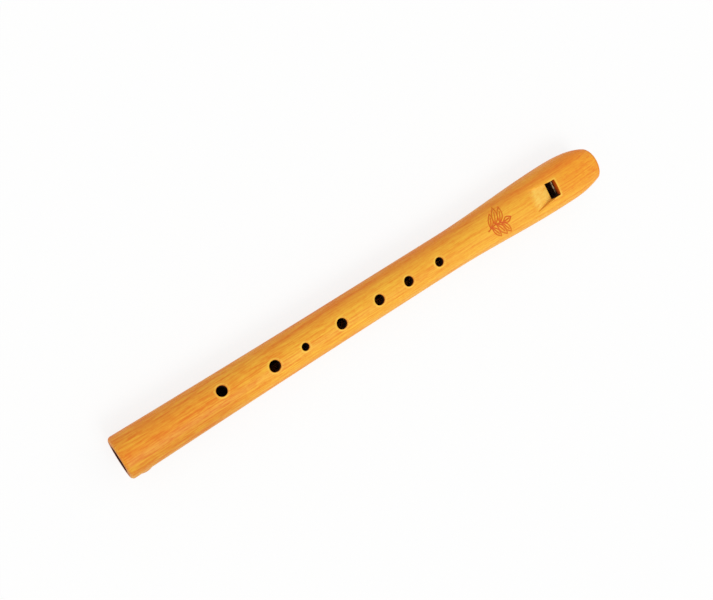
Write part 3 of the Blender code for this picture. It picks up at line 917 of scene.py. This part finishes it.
def straight_grain_group():
    """Wood with its grain along X. Rings are shells about a pith line beside the flute, bent a little by
    noise; fibres, streaks, dashes, ticks and pores are noise drawn out along the grain; flecks lie
    across it."""
    tree, given, result = new_group(
        "straight_grain",
        {"Vector": ["Place"], "Color": ["Light", "Dark"], "Float": ["Ring Gap", "Contrast", "Dashes"]},
        {"Color": ["Colour"], "Float": ["Height", "Gloss"]},
    )
    place = given["Place"]
    links = {0: scaled(tree, place, (0.0, 1.0, 1.0)), 1: PITH}
    from_pith = add_node(tree, "ShaderNodeVectorMath", links, operation="DISTANCE").outputs["Value"]
    bend = times(tree, noise(tree, place, (9.0, 45.0, 45.0), detail=2.0), 3.2)
    ring = plus(tree, maths(tree, "DIVIDE", from_pith, given["Ring Gap"]), bend)
    links = {"W": ring, "Scale": 1.0, "Detail": 3.0, "Roughness": 0.6}
    rings = add_node(tree, "ShaderNodeTexNoise", links, noise_dimensions="1D").outputs["Fac"]
    total = times(tree, from_range(tree, rings, 0.42, 0.68), 0.26)
    dark = {}
    for name, (scale, detail, roughness, span, weight) in GRAIN_LAYERS.items():
        dark[name] = from_range(tree, noise(tree, place, scale, detail, roughness), *span)
        total = plus(tree, total, times(tree, dark[name], weight or given["Dashes"]))
    total = held(tree, times(tree, total, given["Contrast"]))
    fine, deep = times(tree, dark["fibre"], -0.35), times(tree, dark["pore"], -0.65)
    colour_out = blended(tree, total, given["Light"], given["Dark"])
    gloss = times(tree, total, 0.12)
    connect(tree, result, {"Colour": colour_out, "Height": plus(tree, fine, deep), "Gloss": gloss})
    return tree


def highlight_and_polish_group():
    """Wood with a painted highlight and polish: a lighter colour, which stands for light caught by an edge,
    and a lower roughness where the mask is, broken up by noise."""
    tree, given, result = new_group(
        "highlight_and_polish",
        {"Vector": ["Place"], "Color": ["Colour", "Worn"], "Float": ["Mask", "Amount", "Roughness"]},
        {"Color": ["Colour"], "Float": ["Roughness"]},
    )
    patchy = from_range(tree, noise(tree, given["Place"], (260.0, 260.0, 260.0)), 0.25, 0.6, 0.6, 1.0)
    mask = times(tree, given["Mask"], patchy, given["Amount"])
    rough = plus(tree, given["Roughness"], times(tree, mask, -0.1))
    connect(tree, result, {"Colour": blended(tree, mask, given["Colour"], given["Worn"]), "Roughness": rough})
    return tree


def grained(tree, group, place, light, dark, ring_gap, contrast, dashes):
    """The colour, height and gloss of wood with straight grain."""
    links = {"Place": place, "Light": light, "Dark": dark}
    links |= {"Ring Gap": ring_gap, "Contrast": contrast, "Dashes": dashes}
    return add_node(tree, "ShaderNodeGroup", links, node_tree=group).outputs


def polished(tree, group, place, shade, worn, share_worn, rough):
    """The colour and roughness of wood with a painted highlight and polish where its mask says so."""
    links = {"Place": place, "Colour": shade, "Worn": worn, "Roughness": rough}
    links |= {"Mask": mask_of(tree, "worn"), "Amount": share_worn}
    return add_node(tree, "ShaderNodeGroup", links, node_tree=group).outputs


def mask_of(tree, name):
    return add_node(tree, "ShaderNodeAttribute", {}, attribute_name=name).outputs["Fac"]


def new_material(name):
    """A material, its nodes, its shader and the place that its patterns read."""
    material = bpy.data.materials.new(name)
    material.use_nodes = True
    tree = material.node_tree
    place = add_node(tree, "ShaderNodeTexCoord", {}).outputs["Object"]
    return material, tree, tree.nodes["Principled BSDF"], place


def dress(tree, shader, shade, wood, worn, bump):
    """Links what the shader shows: a shade, the worn wood's roughness and the grain's fine bump."""
    links = {"Height": wood["Height"], "Strength": bump, "Distance": BUMP_DEPTH}
    normal = add_node(tree, "ShaderNodeBump", links).outputs["Normal"]
    connect(tree, shader, {"Base Color": shade, "Roughness": worn["Roughness"], "Normal": normal})


def oiled_wood(finish, grain, highlight_and_polish_nodes):
    """Honey-coloured oiled wood: grain that is busier towards the foot, a redder foot, painted shade on the
    player's right and on the lit left of the foot, a richer tip, paler cuts, painted highlights round the
    rims, oil in the carving, a painted shade line round the tip, red stain with painted shade on inner walls,
    and painted shade in the bore.
    Ranges along and across are in metres of the frame."""
    material, tree, shader, place = new_material("oiled_wood")
    along, across, _ = add_node(tree, "ShaderNodeSeparateXYZ", {0: place}).outputs
    dashes = from_range(tree, along, 0.02, -0.12, 0.18, 0.52)
    wood = grained(tree, grain, place, finish.light, finish.dark, 0.0016, 1.0, dashes)

    # Painted shade on the player's right flank, which faces away from the lamp, and on the lit left side of
    # the foot; the foot is also redder
    foot = from_range(tree, along, -0.075, -0.125)
    flank = from_range(tree, across, 0.0045, 0.0105, 0.0, 0.80)
    flank = times(tree, flank, from_range(tree, along, -0.11, -0.05, 0.15, 1.0))
    patches = from_range(tree, noise(tree, place, (16.0, 95.0, 95.0)), 0.34, 0.66, 0.7, 1.15)
    ruddy = maths(tree, "MAXIMUM", flank, times(tree, foot, 0.5))
    ruddy = held(tree, times(tree, plus(tree, ruddy, 0.06), patches))
    left = times(tree, foot, from_range(tree, across, 0.003, -0.008))
    tip = from_range(tree, along, 0.112, 0.155)
    tip = times(tree, tip, from_range(tree, across, -0.010, -0.002, 0.5, 1.0))
    shade = wood["Colour"]
    for factor, tint in ((ruddy, finish.ruddy), (left, finish.foot_tint), (tip, finish.tip_tint)):
        shade = blended(tree, factor, shade, tint, "MULTIPLY")
    spots = from_range(tree, noise(tree, place, (190.0, 620.0, 420.0)), 0.36, 0.62, 0.45, 1.0)
    shade = blended(tree, times(tree, mask_of(tree, "fresh"), spots), shade, finish.fresh)

    # Painted shade: near black in the bore and deep in the holes and the window
    hollow = mask_of(tree, "hollow")
    rough = plus(tree, wood["Gloss"], finish.roughness, times(tree, hollow, 0.5))
    # Painted highlight round the rims, with the lower roughness of polish
    worn = polished(tree, highlight_and_polish_nodes, place, shade, finish.worn, 0.9, rough)
    shade = blended(tree, mask_of(tree, "carved"), worn["Colour"], finish.carved)
    # Painted shade line round the tip, in the carving's colour
    line = times(tree, mask_of(tree, "tip_edge_shade"), 0.8)
    # Red on inner walls, partly stain and partly painted shade
    stained = mask_of(tree, "stained")
    for factor, colour_of in ((line, finish.carved), (stained, finish.stained), (hollow, finish.hollow)):
        shade = blended(tree, factor, shade, colour_of)
    dress(tree, shader, shade, wood, worn, 0.35)
    connect(tree, shader, {"Specular IOR Level": 0.25, "Coat Weight": 0.05, "Coat Roughness": 0.30})
    return material


def bare_wood(finish, grain, highlight_and_polish_nodes):
    """The block's bare wood, paler and duller, with the same grain turned and at a finer gap."""
    material, tree, shader, place = new_material("block_wood")
    links = {"Vector": place, "Location": (0.0, 0.013, 0.004), "Rotation": (0.9, 0.0, 0.0)}
    turned = add_node(tree, "ShaderNodeMapping", links).outputs[0]
    wood = grained(tree, grain, turned, finish.block_light, finish.block_dark, 0.0011, 0.9, 0.2)
    rough = plus(tree, wood["Gloss"], finish.block_roughness)
    # Painted highlights on three spots of the block's chamfer
    worn = polished(tree, highlight_and_polish_nodes, place, wood["Colour"], finish.block_worn, 1.0, rough)
    # Painted shade on the block's front and the near windway floor
    shade = blended(tree, mask_of(tree, "hollow"), worn["Colour"], finish.hollow)
    dress(tree, shader, shade, wood, worn, 0.5)
    connect(tree, shader, {"Specular IOR Level": 0.35})
    return material


def shade_rounded(mesh, material):
    mesh.materials.clear()
    mesh.materials.append(material)
    mesh.shade_smooth()
    mesh.set_sharp_from_angle(angle=SHARP_FROM)


def settings(context, *names):
    """The scene's values for some parts of the flute and its studio."""
    return [getattr(context.scene, f"flute_{name}") for name in names]


class FLUTE_OT_make_body(Operator):
    """Makes the flute's body and takes the bore, holes, window, windway and ramp out of it"""

    bl_idname = "flute.make_body"
    bl_label = "Make the body"

    def execute(self, context):
        outside, holes, voicing = settings(context, "outside", "holes", "voicing")
        sprig, finish = settings(context, "sprig", "finish")
        body = add_piece("flute_wood", tube_mesh("flute_wood", outside_rings(outside, holes, sprig)))
        rings = enumerate(body_cuts(outside, holes, voicing))
        cutters = [add_piece(f"cutter_{count}", tube_mesh("cutter", ring)) for count, ring in rings]
        cut(body, cutters)
        set_masks(body.data, body_masks(outside, holes, voicing, sprig, points_of(body.data)))
        grain, highlight_and_polish_nodes = straight_grain_group(), highlight_and_polish_group()
        shade_rounded(body.data, oiled_wood(finish, grain, highlight_and_polish_nodes))
        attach(body, "root")
        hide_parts("flute_body")
        return {"FINISHED"}


class FLUTE_OT_make_block(Operator):
    """Makes the block that is pressed into the head and carries the windway's floor"""

    bl_idname = "flute.make_block"
    bl_label = "Make the block"

    def execute(self, context):
        outside, holes, voicing, finish = settings(context, "outside", "holes", "voicing", "finish")
        block = add_piece("block", tube_mesh("block", block_rings(outside, holes, voicing)))
        set_masks(block.data, block_masks(outside, voicing, points_of(block.data)))
        grain, highlight_and_polish_nodes = bpy.data.node_groups["straight_grain"], bpy.data.node_groups["highlight_and_polish"]
        shade_rounded(block.data, bare_wood(finish, grain, highlight_and_polish_nodes))
        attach(block, "root")
        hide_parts("fipple_block")
        return {"FINISHED"}


def pale_floor(studio):
    """A pale floor that bounces its own colour, and looks white, with the shadow on it, where a camera,
    mirror or glass sees it."""
    material, tree, shader, _ = new_material("pale_floor")
    seen = seen_directly(tree)
    links = {
        "Base Color": blended(tree, seen, studio.floor_colour, studio.floor_colour * SHOWN_SHARE),
        "Emission Strength": times(tree, seen, studio.floor_glow),
        "Emission Color": (1, 1, 1, 1),
        "Roughness": 0.9,
        "Specular IOR Level": 0.0,
    }
    connect(tree, shader, links)
    return material


def seen_directly(tree):
    """1 for rays from the camera, a mirror or glass, and 0 for the light that lands on the flute."""
    path = add_node(tree, "ShaderNodeLightPath", {}).outputs
    return maths(tree, "MAXIMUM", path["Is Glossy Ray"], path["Is Transmission Ray"], path["Is Camera Ray"])


def even_sky(studio):
    """A white surround whose light on the flute has its own strength."""
    world = bpy.data.worlds.new("even_sky")
    world.use_nodes = True
    tree = world.node_tree
    strength = from_range(tree, seen_directly(tree), 0.0, 1.0, studio.sky_strength, 1.0)
    connect(tree, tree.nodes["Background"], {"Color": (1, 1, 1, 1), "Strength": strength})
    return world


def add_key_lamp(studio):
    """A wide, far lamp that shines down across the flute from the player's left."""
    lamp = bpy.data.lights.new("key_lamp", "SUN")
    lamp.energy, lamp.angle = studio.key_strength, studio.key_spread
    holder = add_piece("key_lamp", lamp)
    holder.rotation_euler = (studio.key_lean, 0, 0)


def camera_frame(studio, outside):
    """The camera's place and axes. It stands off the bore's axis, on the upright turned about that axis
    by the azimuth, and behind the foot. It looks back down the upright, turned by the pitch towards the
    head and by the aim across, and rolls so that the flute slopes in the picture."""
    turns = [(-studio.camera_azimuth, "X"), (-studio.camera_pitch, "Y")]
    turns += [(studio.camera_aim, "X"), (-studio.camera_roll, "Z")]
    turned = [Matrix.Rotation(angle, 4, axis) for angle, axis in turns]
    behind = studio.camera_behind + outside.length / 2
    place = turned[0] @ Vector((-behind, 0, studio.camera_height))
    place.z += rest_height(outside)
    return Matrix.Translation(place) @ turned[0] @ turned[1] @ turned[2] @ turned[3]


class FLUTE_OT_make_studio(Operator):
    """Makes the floor, the even sky, the lamp and the camera"""

    bl_idname = "flute.make_studio"
    bl_label = "Make the studio"

    def execute(self, context):
        scene = context.scene
        studio, outside = settings(context, "studio", "outside")
        corners = np.array([[-1, -1, 0], [1, -1, 0], [1, 1, 0], [-1, 1, 0]]) * studio.floor_size / 2
        corners[:, 2] = -0.06 * MM
        mesh = bpy.data.meshes.new("studio_floor")
        mesh.from_pydata(corners.tolist(), [], [(0, 1, 2, 3)])
        mesh.materials.append(pale_floor(studio))
        add_piece("studio_floor", mesh)
        scene.world = even_sky(studio)
        add_key_lamp(studio)
        camera = bpy.data.cameras.new("camera")
        camera.sensor_width = 36
        camera.lens = studio.camera_lens
        camera.clip_start = 0.01
        holder = add_piece("camera", camera)
        holder.matrix_world = camera_frame(studio, outside)
        scene.camera = holder
        scene.view_settings.view_transform = "Standard"
        return {"FINISHED"}


class FLUTE_PT_pieces(Panel):
    """Lists the pieces and the sizes and colours that they are made from"""

    bl_label = "Fipple flute"
    bl_space_type = "VIEW_3D"
    bl_region_type = "UI"
    bl_category = "Fipple flute"

    def draw(self, context):
        for maker, groups in (
            (FLUTE_OT_make_body, ("flute_outside", "flute_holes", "flute_voicing", "flute_sprig")),
            (FLUTE_OT_make_block, ("flute_finish",)),
            (FLUTE_OT_make_studio, ("flute_studio",)),
        ):
            box = self.layout.box()
            box.operator(maker.bl_idname)
            for name in groups:
                group = getattr(context.scene, name)
                for label in group.__annotations__:
                    box.prop(group, label)


GROUPS = {
    "flute_outside": FluteOutside,
    "flute_holes": FluteHoles,
    "flute_voicing": FluteVoicing,
    "flute_sprig": SprigCarving,
    "flute_finish": WoodFinish,
    "flute_studio": StudioSetting,
}
CLASSES = (*GROUPS.values(), FLUTE_OT_make_body, FLUTE_OT_make_block, FLUTE_OT_make_studio, FLUTE_PT_pieces)


def register():
    for made in CLASSES:
        bpy.utils.register_class(made)
    for name, group in GROUPS.items():
        setattr(bpy.types.Scene, name, PointerProperty(type=group))


def unregister():
    for name in GROUPS:
        delattr(bpy.types.Scene, name)
    for made in reversed(CLASSES):
        bpy.utils.unregister_class(made)


def main():
    register()
    bpy.ops.flute.make_body()
    bpy.ops.flute.make_block()
    bpy.ops.flute.make_studio()


if __name__ == "__main__":
    main()
